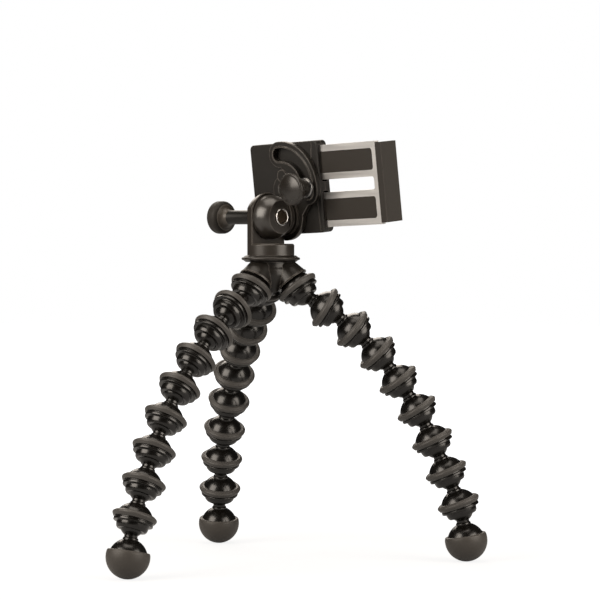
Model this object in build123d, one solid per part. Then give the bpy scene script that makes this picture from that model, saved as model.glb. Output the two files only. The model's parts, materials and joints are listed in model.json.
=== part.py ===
from build123d import *
import math
import os

# Small desk tripod with three flexible ball-and-socket legs, a pan and tilt head and a sliding phone clamp.
# Millimetres. While it is built, the pan axis is Z, the tilt axis runs along X and the phone side faces +Y.
# The finished pieces are moved together, so that the origin is under the middle of the whole, on the floor.

# Fits and clearances
RUN_FIT = 0.05
FACE_GAP = 0.3
SEAT_GAP = 0.25
OVERRUN = 2.0

# Leg segments, along the leg from the centre of the ball
BALL_R = 7.3
BALL_FLAT = 4.0
WAIST_R = 3.9
COLLAR_R = 4.6
COLLAR_START = 7.3
NECK_END = 8.8
DOME_R = 11.6
DOME_CENTRE = 19.5
RING_TOP = 14.4
RING_WIDTH = 3.8
RING_R = 13.3
RING_SHOULDER_R = 11.5
RING_FOOT_R = 12.4
GROOVE_R = 11.3
GROOVE_WIDTH = 0.5
LIP_R = 11.8
LIP_DROP = 1.2
LIP_WIDTH = 0.6
BARREL_R = 9.7
MOUTH_DROP = 3.4
MOUTH_RIM_R = 8.7
PITCH = 21.1

# Feet
FOOT_R = 13.0
FOOT_CENTRE = 18.7
FOOT_PAD_TOP = 15.3
FOOT_CORE_R = 8.0
FOOT_CORE_END = 24.0
FOOT_LIP = 0.9

# Leg poses: tilt from straight down and turn about Z, in degrees, from the second segment to the foot
SOCKET_TILT_ANGLE = 38.0
LEG_NAMES = ("a", "b", "c")
LEG_TURN_ANGLES = {"a": -90.0, "b": 30.0, "c": 150.0}
LEG_TILT_ANGLES = {
    "a": (60, 51, 44, 40, 33, 30, 27, 22, 12),
    "b": (60, 52, 46, 37, 33, 26, 24, 21, 10),
    "c": (57, 56, 48, 41, 33, 28, 21, 19, 9),
}
LEG_SWING_ANGLES = {
    "a": (4, 1, -1, 2, 1, 7, 8, 4, 2),
    "b": (18, 24, 23, 20, 17, 16, 16, 18, 18),
    "c": (4, 4, 2, 0, 3, 2, -1, -5, -5),
}
STAND_HEIGHT = 180.5
LEAST_SPREAD = 0.5
MOST_SPREAD = 1.5
POSE_STEPS = 60

# Hub
HUB_SPIGOT_R = 5.0
HUB_SPIGOT_START = 6.5
HUB_BOSS_R = 10.4
HUB_BOSS_END = 11.4
HUB_BOSS_BACK_R = 7.5
HUB_RIM_WIDTH = 1.0
HUB_RIM_PROUD = 0.4
HUB_REACH = 6.6
HUB_NECK_R = 11.9
HUB_NECK_HEIGHT = 2.5
HUB_TOP_R = 13.0
HUB_CORE_DROP = 16.0
HUB_CORE_R = 7.0
HUB_SHOULDER = 5.0
HUB_BULGE = 1.2
FLANGE_R = 17.8
FLANGE_THICK = 4.0
FLANGE_SLOPE = 1.2
FLANGE_EDGE = 0.9
FLANGE_LIP = 2.6
HUB_TOP_ABOVE_LEGS = 2.5
STUD_R = 3.1
STUD_DEPTH = 12.0
STUD_RISE = 6.0
STUD_HEAD_R = 5.5
STUD_HEAD_H = 2.0
STUD_SOCKET_R = 2.6

# Fork
FORK_R = 14.3
COLLAR_HEIGHT = 7.1
COLLAR_EDGE = 0.8
EAR_FACE = -2.0
EAR_EDGE = 0.5
CROWN_R = 15.2
BALL_ABOVE_COLLAR = 16.2

# Tilt ball
TILT_R = 13.5
TILT_FLAT = 9.0
STEM_R = 11.6
STEM_START = 6.0
STEM_GROOVE_R = 10.2
STEM_GROOVE_START = 9.0
STEM_GROOVE_WIDTH = 1.2
STEM_FLANGE_R = 12.6
AXLE_R = 2.5
AXLE_REACH = 5.0
BOLT_CAP_R = 5.35
BOLT_CAP_H = 1.6
BOLT_CAP_PROUD = 0.7
BOLT_SOCKET_R = 3.9
BOLT_SOCKET_DEPTH = 1.0
TILT_REST_ANGLE = 5.5

# Tilt lock knob
ROD_R = 4.35
ROD_REACH = 35.0
ROD_BITE = 6.0
FLARE_R = 8.2
FLARE_LENGTH = 3.9
GRIP_R = 10.1
GRIP_THICK = 8.2
GRIP_ROUND = 2.4
GRIP_TAPER = 3.0
GRIP_CORE_R = 6.0
GRIP_CORE_DEPTH = 3.0

# Slotted bracket and its pivot
BRACKET_THICK = 3.2
BRACKET_FACE = 11.8
BRACKET_LOBE_R = 15.6
BRACKET_EAR_CLEAR_Z = 10.2
BRACKET_NECK = 8.0
PIVOT_RISE = 16.0
PIVOT_R = 2.3
PIVOT_HEAD_R = 3.6
PIVOT_HEAD_H = 1.4
PIVOT_BITE = 7.2
PIVOT_SOCKET_R = 2.0
SLOT_R = 21.2
SLOT_WIDTH = 8.0
SLOT_START_ANGLE = -5.0
SLOT_END_ANGLE = 95.0
SLOT_BOSS_R = 7.9
SLOT_RIM_WIDTH = 1.0
SLOT_RIM_PROUD = 0.7
SECTOR_R = 27.0
PLUG_R = 3.7
PLUG_RISE = 8.2
PLUG_SIDE = 0.2
PLUG_PROUD = 0.35
CLAMP_ROLL_ANGLE = 2.0

# Clamp housing
CASE_LENGTH = 57.6
CASE_HEIGHT = 56.0
CASE_THICK = 8.6
CASE_CORNER = 3.0
CASE_EDGE = 0.8
CASE_WALL = 2.2
RIB_HALF = 2.9
SCREW_R = 1.0
SCREW_HEAD_R = 2.0
SCREW_HEAD_H = 1.2
SCREW_SHARES = (-0.78, -0.4, 0.4)
FACE_PAD_THICK = 0.9
FACE_PAD_MARGIN = 5.0
FACE_PAD_CORNER = 2.0

# Jaws
JAW_THICK = 4.7
JAW_HEIGHT = 48.0
JAW_DEPTH = 8.8
JAW_CORNER = 1.5
JAW_PAD_THICK = 1.5
JAW_PAD_MARGIN = 2.0
JAW_LIP = 1.2
JAW_LIP_WIDTH = 1.6

# Sliding carriage
RAIL_HEIGHT = 21.0
RAIL_GAP = 7.8
RAIL_THICK = 3.6
RAIL_END = 74.2
RAIL_START = 18.5
GAP_CORNER = 1.5
END_BAR = 3.0
STRIP_BORDER = 4.0
STRIP_DEPTH = 1.0
STRIP_FIT = 0.05
STRIP_CORNER = 1.8
JAW_SCREW_R = 1.3
JAW_SCREW_BITE = 2.6
JAW_SCREW_REACH = 3.2
JAW_SCREW_SHARES = (-0.72, -0.3, 0.3, 0.72)
JAW_TRAVEL = RAIL_END - END_BAR - CASE_LENGTH / 2 - FACE_GAP

# Clamp lock knob
LOCK_WASHER_R = 6.3
LOCK_WASHER_H = 2.2
LOCK_SLEEVE_R = 3.6
LOCK_SHANK_R = 2.0
LOCK_BITE = 6.4
LOCK_NECK_R = 5.0
LOCK_NECK_LENGTH = 8.8
LOCK_HEAD_R = 9.8
LOCK_HEAD_H = 3.2
LOCK_HEAD_RIM = 1.3
LOCK_DOME = 1.6
LOCK_RIM_STEP = 0.6
LOCK_SOCKET_R = 2.4

# Bend that the neck and the socket's mouth allow at each ball
BEND_LIMIT_ANGLE = 31.0


class Via(tuple):
    """A point that the arc between its two neighbours in an outline passes through."""


def outline_face(path):
    """A face from corner points in order; a Via point turns its stretch into an arc."""
    edges = []
    place = 0
    while place < len(path):
        start = path[place]
        middle = path[(place + 1) % len(path)]
        if isinstance(middle, Via):
            edges.append(ThreePointArc(start, tuple(middle), path[(place + 2) % len(path)]))
            place += 2
        else:
            edges.append(Line(start, middle))
            place += 1
    return make_face(edges)


def turned(path):
    """A solid turned about Z from an outline of radius and height."""
    return revolve(Plane.XZ * outline_face(path), Axis.Z)


def rod(radius, low, high):
    """A cylinder on Z between two heights."""
    return Pos(0, 0, low) * Cylinder(radius, high - low, align=(Align.CENTER, Align.CENTER, Align.MIN))


def block(x_low, x_high, y_low, y_high, z_low, z_high):
    """A box between two corners."""
    solid = Box(x_high - x_low, y_high - y_low, z_high - z_low, align=(Align.MIN, Align.MIN, Align.MIN))
    return Pos(x_low, y_low, z_low) * solid


ALONG_X = Rot(0, 90, 0)
ALONG_Y = Rot(-90, 0, 0)


def slab(face, y_low, thick):
    """A flat piece drawn in X and Z and thickened towards +Y."""
    return extrude(Plane.XZ.offset(-y_low) * face, -thick)


# Leg geometry


def unit(vector):
    """The vector at length one."""
    return vector / vector.length


def leg_direction(tilt, azimuth):
    """The way a segment points, from its tilt off straight down and its turn about Z."""
    lean = math.radians(tilt)
    turn = math.radians(azimuth)
    return Vector(math.sin(lean) * math.cos(turn), math.sin(lean) * math.sin(turn), -math.cos(lean))


def hub_socket(name):
    """Where the fixed socket of a leg starts, and the way it points."""
    turn = math.radians(LEG_TURN_ANGLES[name])
    start = Vector(HUB_REACH * math.cos(turn), HUB_REACH * math.sin(turn), STAND_HEIGHT)
    return start, leg_direction(SOCKET_TILT_ANGLE, LEG_TURN_ANGLES[name])


def leg_chain(name, spread):
    """Ball centres and directions of a leg's moving segments, with every tilt times spread."""
    start, axis = hub_socket(name)
    centre = start + axis * PITCH
    chain = []
    for tilt, swing in zip(LEG_TILT_ANGLES[name], LEG_SWING_ANGLES[name]):
        way = leg_direction(tilt * spread, LEG_TURN_ANGLES[name] + swing)
        chain.append((centre, way))
        centre = centre + way * PITCH
    return chain


def foot_bottom(chain):
    """Height of the lowest point of the round foot at the end of a chain."""
    centre, way = chain[-1]
    return (centre + way * FOOT_CENTRE).Z - FOOT_R


def standing_chain(name):
    """The chain of a leg, its tilts scaled a little so that the foot meets the floor."""
    low = LEAST_SPREAD
    high = MOST_SPREAD
    for step in range(POSE_STEPS):
        spread = (low + high) / 2
        if foot_bottom(leg_chain(name, spread)) < 0:
            low = spread
        else:
            high = spread
    return leg_chain(name, spread)


def along(centre, way):
    """A place whose +Z runs along a leg direction."""
    side = unit(way.cross(Vector(0, 0, 1)))
    return Plane(origin=centre, x_dir=side, z_dir=way).location


# Leg pieces, each with its axis on Z and its ball at zero


def arc_radius_at(centre, radius, height):
    """Half width of a ball shape at a height."""
    return math.sqrt(radius**2 - (height - centre) ** 2)


def ball_path():
    """Outline of the ball and its neck, from the flat crown to the start of the dome."""
    return [
        (0, -BALL_FLAT),
        (arc_radius_at(0, BALL_R, BALL_FLAT), -BALL_FLAT),
        Via((BALL_R, 0)),
        (WAIST_R, arc_radius_at(0, BALL_R, WAIST_R)),
        (WAIST_R, COLLAR_START),
        (COLLAR_R, COLLAR_START + COLLAR_R - WAIST_R),
        (COLLAR_R, NECK_END),
    ]


def dome_top():
    """Height at which the dome leaves the neck."""
    return DOME_CENTRE - arc_radius_at(0, DOME_R, COLLAR_R)


def cup_path(start):
    """Outline of the cup from the dome's start, over the ring and lip, to the mouth and up its seat."""
    seat_r = BALL_R + SEAT_GAP
    ring_end = RING_TOP + RING_WIDTH
    lip_start = ring_end + GROOVE_WIDTH
    lip_end = lip_start + LIP_DROP + LIP_WIDTH
    mouth = PITCH + MOUTH_DROP
    dome_middle = (start + RING_TOP) / 2
    return [
        (arc_radius_at(DOME_CENTRE, DOME_R, start), start),
        Via((arc_radius_at(DOME_CENTRE, DOME_R, dome_middle), dome_middle)),
        (arc_radius_at(DOME_CENTRE, DOME_R, RING_TOP), RING_TOP),
        (RING_SHOULDER_R, RING_TOP),
        Via((RING_R, RING_TOP + RING_WIDTH / 2)),
        (RING_FOOT_R, ring_end),
        (GROOVE_R, ring_end),
        (GROOVE_R, lip_start),
        (LIP_R, lip_start + LIP_DROP / 2),
        (LIP_R, lip_end),
        (BARREL_R, lip_end),
        Via((BARREL_R - (BARREL_R - MOUTH_RIM_R) / 3, (lip_end + mouth) / 2)),
        (MOUTH_RIM_R, mouth),
        (arc_radius_at(0, seat_r, MOUTH_DROP), mouth),
        Via((seat_r, PITCH)),
        (0, PITCH - seat_r),
    ]


def leg_segment():
    """Ball, neck, dome and socket cup with its ring, in one moulding."""
    return turned(ball_path() + cup_path(dome_top())[1:])


def hub_cup():
    """The first socket of a leg: the cup with a spigot in place of the ball."""
    start = arc_radius_at(0, DOME_R, HUB_SPIGOT_R)
    spigot = [(0, HUB_SPIGOT_START), (HUB_SPIGOT_R, HUB_SPIGOT_START), (HUB_SPIGOT_R, DOME_CENTRE - start)]
    return turned(spigot + cup_path(DOME_CENTRE - start)[1:])


def foot_stud():
    """Ball, neck and dome of the last piece, with the core that holds the rubber foot."""
    dome_middle = (dome_top() + FOOT_PAD_TOP) / 2
    return turned(
        ball_path()
        + [
            Via((arc_radius_at(DOME_CENTRE, DOME_R, dome_middle), dome_middle)),
            (arc_radius_at(DOME_CENTRE, DOME_R, FOOT_PAD_TOP), FOOT_PAD_TOP),
            (FOOT_CORE_R, FOOT_PAD_TOP),
            (FOOT_CORE_R, FOOT_CORE_END),
            (0, FOOT_CORE_END),
        ]
    )


def foot_pad():
    """Round rubber foot over the core."""
    edge = FOOT_PAD_TOP + FOOT_LIP
    edge_r = arc_radius_at(FOOT_CENTRE, FOOT_R, edge)
    return turned(
        [
            (FOOT_CORE_R, FOOT_PAD_TOP),
            (edge_r - FOOT_LIP, FOOT_PAD_TOP),
            (edge_r, edge),
            Via((FOOT_R * math.sqrt(0.5), FOOT_CENTRE + FOOT_R * math.sqrt(0.5))),
            (0, FOOT_CENTRE + FOOT_R),
            (0, FOOT_CORE_END),
            (FOOT_CORE_R, FOOT_CORE_END),
        ]
    )


# Hub and pan joint


def hub_top():
    """Height of the hub's flat top, which carries the flange."""
    return STAND_HEIGHT + HUB_TOP_ABOVE_LEGS


def collar_bottom():
    """Height of the pan face."""
    return hub_top() + FLANGE_THICK


def tilt_height():
    """Height of the tilt axis."""
    return collar_bottom() + COLLAR_HEIGHT + BALL_ABOVE_COLLAR


def hub_boss():
    """Tapered boss with a thin rim, on Z, that holds the first socket of a leg."""
    rim = HUB_BOSS_END - HUB_RIM_WIDTH
    return turned(
        [
            (0, 0),
            (HUB_BOSS_BACK_R, 0),
            (HUB_BOSS_R - HUB_RIM_PROUD, rim),
            (HUB_BOSS_R, rim),
            (HUB_BOSS_R, HUB_BOSS_END),
            (0, HUB_BOSS_END),
        ]
    )


def hub_body():
    """Rounded core with three bosses that take the first sockets of the legs."""
    top = hub_top()
    shoulder = top - HUB_NECK_HEIGHT
    core = turned(
        [
            (0, top),
            (HUB_NECK_R, top),
            (HUB_NECK_R, shoulder),
            (HUB_TOP_R, shoulder - HUB_SHOULDER / 2),
            (HUB_TOP_R, shoulder - HUB_SHOULDER),
            Via(((HUB_TOP_R + HUB_CORE_R) / 2 + HUB_BULGE, shoulder - (HUB_SHOULDER + HUB_CORE_DROP) / 2)),
            (HUB_CORE_R, shoulder - HUB_CORE_DROP),
            (0, shoulder - HUB_CORE_DROP),
        ]
    )
    solid = core
    for name in LEG_NAMES:
        start, way = hub_socket(name)
        place = along(start, way)
        solid += place * hub_boss()
    solid -= Pos(0, 0, top) * rod(FLANGE_R, 0, FLANGE_R)
    for name in LEG_NAMES:
        start, way = hub_socket(name)
        place = along(start, way)
        solid -= place * rod(RING_R + FACE_GAP, HUB_BOSS_END, PITCH + MOUTH_DROP + OVERRUN)
        solid -= place * (Pos(0, 0, DOME_CENTRE) * Sphere(DOME_R + RUN_FIT))
        solid -= place * rod(HUB_SPIGOT_R + RUN_FIT, HUB_SPIGOT_START, HUB_BOSS_END)
    low = top - HUB_NECK_HEIGHT - HUB_CORE_DROP
    solid -= rod(STUD_R + RUN_FIT, low - OVERRUN, top + OVERRUN)
    solid -= rod(STUD_HEAD_R + RUN_FIT, low - STUD_HEAD_H - OVERRUN, low)
    return solid


def hub_flange():
    """Wide round plate under the head."""
    low = hub_top()
    high = low + FLANGE_THICK
    plate = turned(
        [
            (STUD_R + RUN_FIT, low),
            (FLANGE_R - FLANGE_LIP, low),
            (FLANGE_R - FLANGE_EDGE, low + FLANGE_SLOPE),
            Via((FLANGE_R, (low + high) / 2)),
            (FLANGE_R - FLANGE_EDGE, high - FLANGE_SLOPE),
            (FLANGE_R - FLANGE_LIP, high),
            (STUD_R + RUN_FIT, high),
        ]
    )
    return plate


def pan_stud():
    """Screw that holds the head: it stands in the hub and the head turns on its upper end."""
    low = hub_top() - HUB_NECK_HEIGHT - HUB_CORE_DROP
    high = collar_bottom() + STUD_RISE
    stud = rod(STUD_R, low, high) + rod(STUD_HEAD_R, low - STUD_HEAD_H, low)
    hexagon = RegularPolygon(STUD_SOCKET_R, 6)
    return stud - extrude(Pos(0, 0, low - STUD_HEAD_H) * hexagon, STUD_HEAD_H)


def fork():
    """Collar and one ear, cut from one round bar, with the pan bore and the tilt bores."""
    low = collar_bottom()
    step = low + COLLAR_HEIGHT
    axis = tilt_height()
    bar = rod(FORK_R, low, axis + CROWN_R)
    ear = block(-CROWN_R, EAR_FACE, -CROWN_R, CROWN_R, step - OVERRUN, axis + CROWN_R)
    ear -= block(-CROWN_R, EAR_FACE, -CROWN_R, CROWN_R, axis, axis + CROWN_R) - Pos(0, 0, axis) * Sphere(CROWN_R)
    ear &= bar
    ear = chamfer(ear.faces().sort_by(Axis.X)[-1].edges(), EAR_EDGE)
    collar = turned(
        [
            (0, low),
            (FORK_R, low),
            (FORK_R, step - COLLAR_EDGE),
            (FORK_R - COLLAR_EDGE, step),
            (0, step),
        ]
    )
    solid = collar + ear
    solid -= rod(STUD_R + RUN_FIT, low - OVERRUN, low + STUD_RISE + FACE_GAP)
    tilt_line = Pos(0, 0, axis) * ALONG_X
    solid -= tilt_line * rod(AXLE_R + RUN_FIT, EAR_FACE - AXLE_REACH - FACE_GAP, EAR_FACE + OVERRUN)
    solid -= tilt_line * rod(ROD_R + RUN_FIT, -FORK_R - OVERRUN, -FORK_R + ROD_BITE + FACE_GAP)
    return solid


# Tilt lock knob, on the tilt axis with +Z of the local solid towards the head


def tilt_knob_rod():
    """Threaded rod with the flare that carries the grip."""
    flare_end = -ROD_REACH
    flare_start = flare_end - FLARE_LENGTH
    solid = turned(
        [
            (0, -FORK_R + ROD_BITE),
            (ROD_R, -FORK_R + ROD_BITE),
            (ROD_R, flare_end),
            Via((ROD_R + (FLARE_R - ROD_R) / 3, flare_end - FLARE_LENGTH * 2 / 3)),
            (FLARE_R, flare_start),
            (GRIP_CORE_R, flare_start),
            (GRIP_CORE_R, flare_start - GRIP_CORE_DEPTH),
            (0, flare_start - GRIP_CORE_DEPTH),
        ]
    )
    return Pos(0, 0, tilt_height()) * ALONG_X * solid


def tilt_knob_grip():
    """Round rubber grip."""
    high = -ROD_REACH - FLARE_LENGTH
    low = high - GRIP_THICK
    solid = turned(
        [
            (0, low),
            (GRIP_R - GRIP_ROUND, low),
            Via((GRIP_R - GRIP_ROUND * (1 - math.sqrt(0.5)), low + GRIP_ROUND * (1 - math.sqrt(0.5)))),
            (GRIP_R, low + GRIP_ROUND),
            (GRIP_R, high - GRIP_TAPER),
            Via((GRIP_R - (GRIP_R - FLARE_R) / 3, high - GRIP_TAPER / 3)),
            (FLARE_R, high),
            (GRIP_CORE_R, high),
            (GRIP_CORE_R, high - GRIP_CORE_DEPTH),
            (0, high - GRIP_CORE_DEPTH),
        ]
    )
    return Pos(0, 0, tilt_height()) * ALONG_X * solid


# Tilting pieces, in a frame at the ball centre with the stem along +Y


def tilt_place():
    """The tilt frame in its rest pose."""
    return Pos(0, 0, tilt_height()) * Rot(TILT_REST_ANGLE, 0, 0)


def ball_side():
    """Plane on which the ball is cut, beside the ear."""
    return EAR_FACE + FACE_GAP


def pivot_line():
    """The axis on which the clamp turns, with its +Z towards the phone."""
    return Pos(0, 0, PIVOT_RISE) * ALONG_Y


def tilt_ball():
    """Ball with two flats, and the grooved stem that carries the bracket."""
    stem = turned(
        [
            (0, STEM_START),
            (STEM_R, STEM_START),
            (STEM_R, STEM_GROOVE_START),
            (STEM_GROOVE_R, STEM_GROOVE_START),
            (STEM_GROOVE_R, STEM_GROOVE_START + STEM_GROOVE_WIDTH),
            (STEM_FLANGE_R, STEM_GROOVE_START + STEM_GROOVE_WIDTH),
            (STEM_FLANGE_R, BRACKET_FACE),
            (0, BRACKET_FACE),
        ]
    )
    solid = Sphere(TILT_R) + ALONG_Y * stem
    reach = TILT_R + OVERRUN
    solid -= block(-reach, ball_side(), -reach, reach, -reach, reach)
    solid -= block(-reach, reach, BRACKET_FACE, reach, -reach, reach)
    flat = ALONG_X * rod(STEM_GROOVE_R, TILT_FLAT, reach)
    solid -= flat & (block(TILT_FLAT, reach, -reach, STEM_START, -reach, reach))
    solid -= ALONG_X * rod(AXLE_R + RUN_FIT, ball_side() - OVERRUN, reach)
    cap_floor = TILT_FLAT + BOLT_CAP_PROUD - BOLT_CAP_H
    solid -= ALONG_X * rod(BOLT_CAP_R + RUN_FIT, cap_floor, reach)
    return solid


def tilt_bolt():
    """Tilt axle with a bright round cap and a hexagon socket."""
    cap_top = TILT_FLAT + BOLT_CAP_PROUD
    solid = rod(AXLE_R, EAR_FACE - AXLE_REACH, cap_top - BOLT_CAP_H)
    solid += rod(BOLT_CAP_R, cap_top - BOLT_CAP_H, cap_top)
    socket = extrude(RegularPolygon(BOLT_SOCKET_R, 6), BOLT_SOCKET_DEPTH + OVERRUN)
    solid -= Pos(0, 0, cap_top - BOLT_SOCKET_DEPTH) * socket
    return ALONG_X * solid


def on_pivot(x, z):
    """A point of the bracket's drawing, given from the clamp's pivot."""
    return Pos(x, PIVOT_RISE + z)


def slot_face(width):
    """The curved slot about the pivot, drawn at a given width."""
    low = math.radians(SLOT_START_ANGLE)
    high = math.radians(SLOT_END_ANGLE)
    middle = (low + high) / 2
    path = ThreePointArc(
        (SLOT_R * math.cos(low), PIVOT_RISE + SLOT_R * math.sin(low)),
        (SLOT_R * math.cos(middle), PIVOT_RISE + SLOT_R * math.sin(middle)),
        (SLOT_R * math.cos(high), PIVOT_RISE + SLOT_R * math.sin(high)),
    )
    return SlotArc(path, width)


def bracket():
    """Flat plate from the stem to the pivot, widened to a sector with the curved slot."""
    quarter = Circle(SECTOR_R) & Rectangle(SECTOR_R, SECTOR_R, align=(Align.MIN, Align.MIN))
    face = on_pivot(0, 0) * quarter
    face += on_pivot(0, 0) * Circle(BRACKET_NECK)
    face += slot_face(SLOT_BOSS_R * 2)
    face += Circle(BRACKET_LOBE_R)
    web = (
        (0, 0),
        (BRACKET_LOBE_R, 0),
        (SLOT_R + SLOT_BOSS_R, PIVOT_RISE),
        (0, PIVOT_RISE),
    )
    face += make_face(Polyline(*web, close=True))
    low = -BRACKET_LOBE_R - OVERRUN
    beside_ear = Pos(low * 2, low) * Rectangle(
        ball_side() - low * 2, BRACKET_EAR_CLEAR_Z - low, align=(Align.MIN, Align.MIN)
    )
    face -= beside_ear
    face -= slot_face(SLOT_WIDTH)
    solid = slab(face, BRACKET_FACE, BRACKET_THICK)
    rim = slot_face(SLOT_WIDTH + SLOT_RIM_WIDTH * 2) - slot_face(SLOT_WIDTH)
    solid += slab(rim, BRACKET_FACE - SLOT_RIM_PROUD, SLOT_RIM_PROUD)
    pivot_hole = pivot_line() * rod(PIVOT_R + RUN_FIT, 0, CASE_LENGTH)
    pivot_hole += pivot_line() * rod(PIVOT_HEAD_R + RUN_FIT, 0, BRACKET_FACE + PIVOT_HEAD_H)
    plug_hole = Pos(PLUG_SIDE, 0, PIVOT_RISE + PLUG_RISE) * ALONG_Y * rod(PLUG_R + RUN_FIT, 0, CASE_LENGTH)
    return solid - pivot_hole - plug_hole


def bracket_plug():
    """Small round plug pressed in the bracket above the pivot."""
    low = BRACKET_FACE - PLUG_PROUD
    plug = rod(PLUG_R, low, BRACKET_FACE + BRACKET_THICK - RUN_FIT)
    return Pos(PLUG_SIDE, 0, PIVOT_RISE + PLUG_RISE) * ALONG_Y * plug


def pivot_screw():
    """Screw, its head sunk in the bracket, on which the clamp turns from landscape to portrait."""
    step = BRACKET_FACE + PIVOT_HEAD_H
    end = BRACKET_FACE + BRACKET_THICK + FACE_GAP + PIVOT_BITE
    solid = rod(PIVOT_HEAD_R, BRACKET_FACE, step) + rod(PIVOT_R, step, end)
    solid -= extrude(Pos(0, 0, BRACKET_FACE) * RegularPolygon(PIVOT_SOCKET_R, 6), PIVOT_HEAD_H)
    return pivot_line() * solid


# Clamp pieces, in a frame at the pivot on the near face of the housing, arms along +X, phone side +Y


def clamp_place():
    """The clamp frame in its rest pose."""
    near_face = BRACKET_FACE + BRACKET_THICK + FACE_GAP
    return tilt_place() * Pos(0, near_face, PIVOT_RISE) * Rot(0, -CLAMP_ROLL_ANGLE, 0)


def case_outline():
    """Rounded outline of the housing."""
    return RectangleRounded(CASE_LENGTH, CASE_HEIGHT, CASE_CORNER)


def rail_room(y_low, y_high):
    """Space for the two rails inside the housing, open at the arm side."""
    tall = RAIL_HEIGHT + RAIL_GAP / 2 + SEAT_GAP
    left = CASE_WALL - CASE_LENGTH / 2
    room = block(left, CASE_LENGTH / 2 + OVERRUN, y_low, y_high, -tall, tall)
    return room - block(left, CASE_LENGTH, y_low, y_high, -RIB_HALF, RIB_HALF)


def case_holes(radius, x, y_low, y_high):
    """A hole through the housing along Y."""
    return Pos(x, 0, 0) * ALONG_Y * rod(radius, y_low, y_high)


def screw_stations():
    """Places of the housing screws along the middle rib."""
    return [share * CASE_LENGTH / 2 for share in SCREW_SHARES]


def back_case():
    """Near half of the housing, towards the bracket."""
    half = CASE_THICK / 2
    solid = slab(case_outline(), 0, half)
    near_edges = solid.faces().sort_by(Axis.Y)[0].edges()
    solid = fillet(near_edges, CASE_EDGE)
    solid -= rail_room(CASE_WALL, half + OVERRUN)
    solid -= case_holes(PIVOT_R + RUN_FIT, 0, -OVERRUN, half + OVERRUN)
    solid -= case_holes(LOCK_SHANK_R + RUN_FIT, SLOT_R, -OVERRUN, half + OVERRUN)
    for x in screw_stations():
        solid -= case_holes(SCREW_R + RUN_FIT, x, CASE_WALL, half + OVERRUN)
    return solid


def front_case():
    """Far half of the housing, which the phone lies against."""
    half = CASE_THICK / 2
    solid = slab(case_outline(), half, half)
    far_edges = solid.faces().sort_by(Axis.Y)[-1].edges()
    solid = fillet(far_edges, CASE_EDGE)
    solid -= rail_room(half - OVERRUN, CASE_THICK - CASE_WALL)
    solid -= case_holes(PIVOT_R + RUN_FIT, 0, half - OVERRUN, PIVOT_BITE + FACE_GAP)
    solid -= case_holes(LOCK_SHANK_R + RUN_FIT, SLOT_R, half - OVERRUN, LOCK_BITE + FACE_GAP)
    for x in screw_stations():
        solid -= case_holes(SCREW_R + RUN_FIT, x, half - OVERRUN, CASE_THICK + OVERRUN)
        solid -= case_holes(SCREW_HEAD_R + RUN_FIT, x, CASE_THICK - SCREW_HEAD_H, CASE_THICK + OVERRUN)
    return solid


def case_screws():
    """Screws that close the housing, under the face pad."""
    group = []
    for x in screw_stations():
        shank = case_holes(SCREW_R, x, CASE_WALL + RUN_FIT, CASE_THICK - SCREW_HEAD_H)
        head = case_holes(SCREW_HEAD_R, x, CASE_THICK - SCREW_HEAD_H, CASE_THICK - RUN_FIT)
        group.append((shank + head).solid())
    return Compound(children=group)


def face_pad():
    """Thin rubber sheet on the phone side of the housing."""
    left = -CASE_LENGTH / 2 + JAW_THICK + JAW_PAD_THICK + FACE_PAD_MARGIN
    right = CASE_LENGTH / 2 - FACE_PAD_MARGIN
    tall = CASE_HEIGHT - FACE_PAD_MARGIN * 2
    face = Pos((left + right) / 2, 0) * RectangleRounded(right - left, tall, FACE_PAD_CORNER)
    return slab(face, CASE_THICK, FACE_PAD_THICK)


def jaw(x_inner, way, y_low, y_high):
    """A jaw wall with a hooked lip; way is the side of the wall that faces outwards."""
    x_outer = x_inner + way * JAW_THICK
    lip_x = x_inner - way * JAW_LIP
    outline = [
        (x_inner, y_low),
        (x_outer, y_low),
        (x_outer, y_high - JAW_CORNER),
        (x_outer - way * JAW_CORNER, y_high),
        (lip_x, y_high),
        (lip_x, y_high - JAW_LIP_WIDTH / 2),
        (x_inner, y_high - JAW_LIP_WIDTH),
    ]
    wall = extrude(make_face(Polyline(*outline, close=True)), JAW_HEIGHT / 2, both=True)
    return wall


def fixed_jaw():
    """Jaw at the end of the housing, on the phone side."""
    return jaw(-CASE_LENGTH / 2 + JAW_THICK, -1, CASE_THICK, CASE_THICK + JAW_DEPTH)


def pad_reach():
    """How far a jaw pad stands up from the phone face."""
    return JAW_DEPTH - JAW_LIP_WIDTH - RUN_FIT


def fixed_jaw_pad():
    """Rubber pad on the fixed jaw."""
    x = -CASE_LENGTH / 2 + JAW_THICK
    half = JAW_HEIGHT / 2 - JAW_PAD_MARGIN
    return block(x, x + JAW_PAD_THICK, CASE_THICK, CASE_THICK + pad_reach(), -half, half)


def rail_low():
    """Near side of the rails inside the housing."""
    return (CASE_THICK - RAIL_THICK) / 2


def rail_middles():
    """Heights of the middles of the two rails."""
    middle = (RAIL_GAP + RAIL_HEIGHT) / 2
    return {"upper": middle, "lower": -middle}


def strip_face(side, grow):
    """Outline of the dark strip let into a rail."""
    tall = RAIL_HEIGHT - STRIP_BORDER * 2 + grow * 2
    left = RAIL_START + STRIP_BORDER - grow
    right = RAIL_END - END_BAR + grow
    place = Pos((left + right) / 2, rail_middles()[side])
    return place * RectangleRounded(right - left, tall, STRIP_CORNER + grow)


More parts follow.
